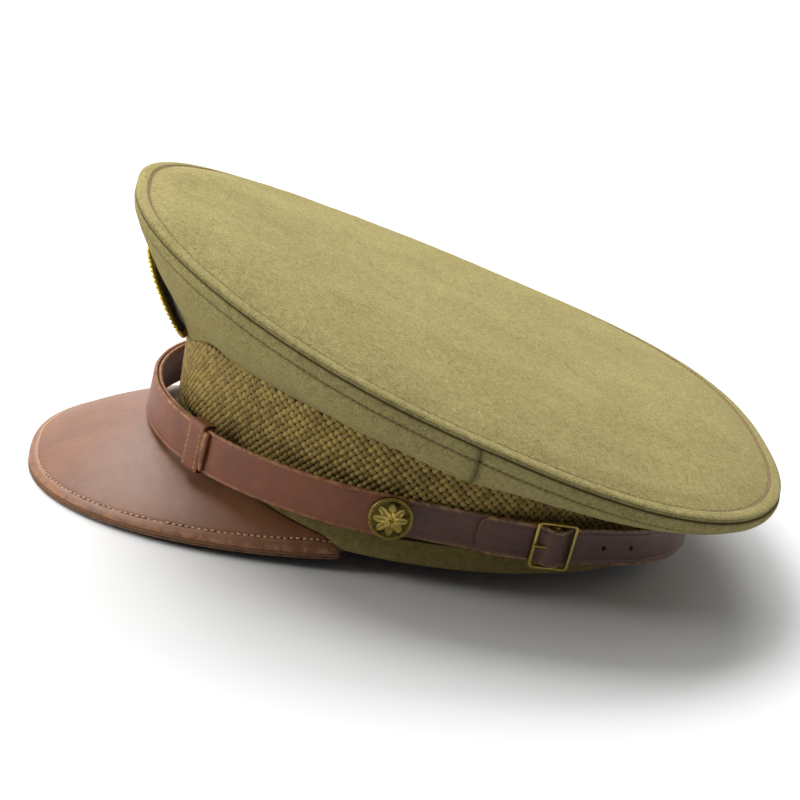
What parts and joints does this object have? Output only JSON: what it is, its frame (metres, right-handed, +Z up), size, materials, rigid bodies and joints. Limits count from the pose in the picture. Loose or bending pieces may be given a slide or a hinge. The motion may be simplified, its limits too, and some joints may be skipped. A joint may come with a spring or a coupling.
{
  "type": "peaked military cap",
  "caption": "Officer's peaked cap with a wide tilted wool crown, braided band, leather visor, leather chin and nape straps, buckle, side buttons and a plain wreath badge.",
  "frame": {"origin": "centre of the head opening, in the plane of the band's lower edge", "axes": "+Z up out of the wearer's head, -Y towards the visor, +X to the wearer's left"},
  "size_m": [0.249, 0.296, 0.1175],
  "materials": {
    "wool_crown": "olive felted wool with a soft nap",
    "wool_dark": "dark olive wool",
    "braid": "golden olive mohair braid",
    "buckram_board": "stiffened buckram",
    "sweatband_leather": "smooth tan leather",
    "lining_satin": "gold brown satin",
    "spring_steel": "blued spring steel",
    "visor_leather": "russet brown leather with a satin shine",
    "visor_board": "compressed leather board",
    "visor_lining_leather": "dull brown leather",
    "strap_leather": "worn brown leather with embossed edge lines",
    "nape_leather": "worn dark brown leather",
    "aged_brass": "aged brass",
    "plated_steel": "dull plated steel",
    "gilt_brass": "gilt brass"
  },
  "bodies": {
    "cap": {"braid_band": "braid", "bottom_welt": "wool_dark", "band_stiffener": "buckram_board", "sweatband": "sweatband_leather", "crown_top": "wool_crown", "crown_front_panel": "wool_crown", "crown_left_quarter": "wool_crown", "crown_right_quarter": "wool_crown", "crown_lining": "lining_satin", "crown_grommet": "spring_steel", "front_stay": "spring_steel", "visor_top": "visor_leather", "visor_core": "visor_board", "visor_lining": "visor_lining_leather", "button_washer_left": "aged_brass", "button_washer_right": "aged_brass", "button_nut_left": "plated_steel", "button_nut_right": "plated_steel", "cap_badge": "gilt_brass", "badge_post": "gilt_brass"},
    "chin_strap": {"chin_strap_left": "strap_leather", "chin_strap_right": "strap_leather", "keeper_left": "strap_leather", "keeper_right": "strap_leather"},
    "nape_strap": {"rear_strap_short": "nape_leather", "rear_strap_long": "nape_leather"},
    "buckle": {"buckle_frame": "aged_brass"},
    "prong": {"buckle_prong": "aged_brass"},
    "left_button": {"side_button_left": "aged_brass"},
    "right_button": {"side_button_right": "aged_brass"},
    "badge_fixing": {"badge_nut": "aged_brass"}
  },
  "joints": [
    {"name": "chin_strap_swing", "type": "hinge", "parent": "cap", "child": "chin_strap", "pos_m": [0, -0.0195, 0.0198], "axis": [-1, 0, 0], "range_deg": [0, 8]},
    {"name": "nape_strap_swing", "type": "hinge", "parent": "cap", "child": "nape_strap", "pos_m": [0, -0.0195, 0.0198], "axis": [1, 0, 0], "range_deg": [-4, 4]},
    {"name": "buckle_rock", "type": "hinge", "parent": "nape_strap", "child": "buckle", "pos_m": [0.08452, 0.04316, 0.01487], "axis": [0, 0.0785, 0.9969], "range_deg": [-1.5, 1.5]},
    {"name": "prong_lift", "type": "hinge", "parent": "buckle", "child": "prong", "pos_m": [0.08452, 0.04316, 0.01487], "axis": [0, 0.0785, 0.9969], "range_deg": [0, 18]},
    {"name": "left_button_turn", "type": "hinge", "parent": "cap", "child": "left_button", "pos_m": [0.0895, -0.0195, 0.0198], "axis": [1, 0, 0], "continuous": true},
    {"name": "right_button_turn", "type": "hinge", "parent": "cap", "child": "right_button", "pos_m": [-0.0895, -0.0195, 0.0198], "axis": [-1, 0, 0], "continuous": true},
    {"name": "badge_nut_turn", "type": "hinge", "parent": "cap", "child": "badge_fixing", "pos_m": [0, -0.1114, 0.0665], "axis": [0, -0.866, -0.5], "continuous": true}
  ]
}
